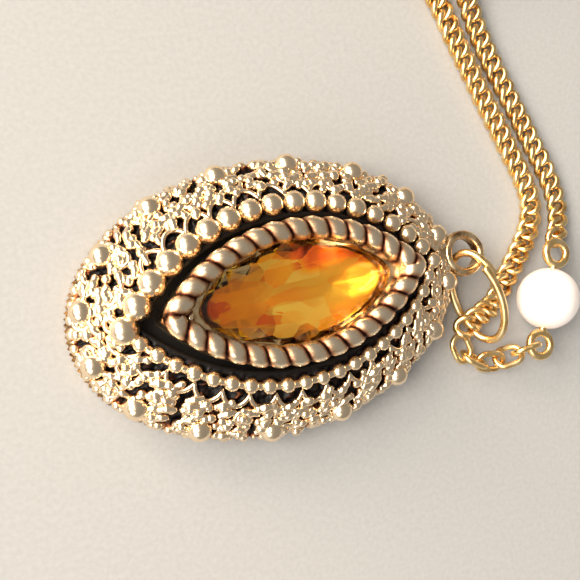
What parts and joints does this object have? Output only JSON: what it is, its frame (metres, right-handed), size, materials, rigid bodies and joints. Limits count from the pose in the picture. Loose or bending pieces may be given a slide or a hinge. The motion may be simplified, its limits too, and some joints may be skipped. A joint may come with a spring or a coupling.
{
  "type": "pendant necklace",
  "caption": "Oval domed pendant in antiqued gold with an eye-shaped amber stone, on a jump ring and fine curb chain with a pearl and a lobster clasp",
  "frame": {"origin": "Middle of the pendant's flat back, on the surface it lies on", "axes": "+X runs along the pendant's length to its bail, +Z points out of the stone, +Y completes a right-handed frame across its width"},
  "size_m": [0.0688, 0.0818, 0.0099],
  "materials": {
    "old_gold": "antiqued gold plate, blackened in the recesses",
    "black_lacquer": "black lacquer",
    "foil": "bright foil",
    "amber_glass": "cut glass, polished",
    "chain_gold": "bright gold plate",
    "pearl_coat": "pearl coating",
    "spring_steel": "drawn wire"
  },
  "bodies": {
    "pendant": {"back_plate": "old_gold", "rim_wire": "old_gold", "base_dome": "black_lacquer", "filigree_cover": "old_gold", "granules_outer": "old_gold", "granules_inner": "old_gold", "rim_beads": "old_gold", "scallop_wire": "old_gold", "eye_beads": "old_gold", "bezel_cup": "old_gold", "bezel_rope": "old_gold", "foil_cup": "foil", "stone": "amber_glass", "bail_ring": "old_gold"},
    "jump_ring": {"jump_ring": "chain_gold"},
    "chain": {"link_1": "chain_gold", "link_2": "chain_gold", "link_3": "chain_gold", "link_4": "chain_gold", "link_5": "chain_gold", "pearl_pin": "chain_gold", "chain_a": "chain_gold", "chain_b": "chain_gold", "coil_a": "chain_gold", "coil_b": "chain_gold", "clasp_body": "chain_gold", "clasp_rivet": "chain_gold", "clasp_spring": "spring_steel", "clasp_ring": "chain_gold", "end_ring": "chain_gold"},
    "pearl": {"pearl": "pearl_coat"},
    "clasp_lever": {"clasp_lever": "chain_gold"}
  },
  "joints": [
    {"name": "ring_swing", "type": "hinge", "parent": "pendant", "child": "jump_ring", "pos_m": [0.0221, 0, 0.0038], "axis": [0, 0, 1], "range_deg": [-2, 40]},
    {"name": "chain_swing", "type": "hinge", "parent": "jump_ring", "child": "chain", "pos_m": [0.0222, -0.0075, 0.0023], "axis": [0, 0, 1], "range_deg": [-25, 6]},
    {"name": "pearl_spin", "type": "hinge", "parent": "chain", "child": "pearl", "pos_m": [0.0322, -0.0072, 0.0035], "axis": [0.454, 0.891, 0], "continuous": true},
    {"name": "lever_press", "type": "hinge", "parent": "chain", "child": "clasp_lever", "pos_m": [0.0286, 0.0511, 0.00165], "axis": [0, 0, 1], "range_deg": [-28, 0], "stiffness_Nm_per_rad": 0.004, "springref_deg": 5.73}
  ]
}
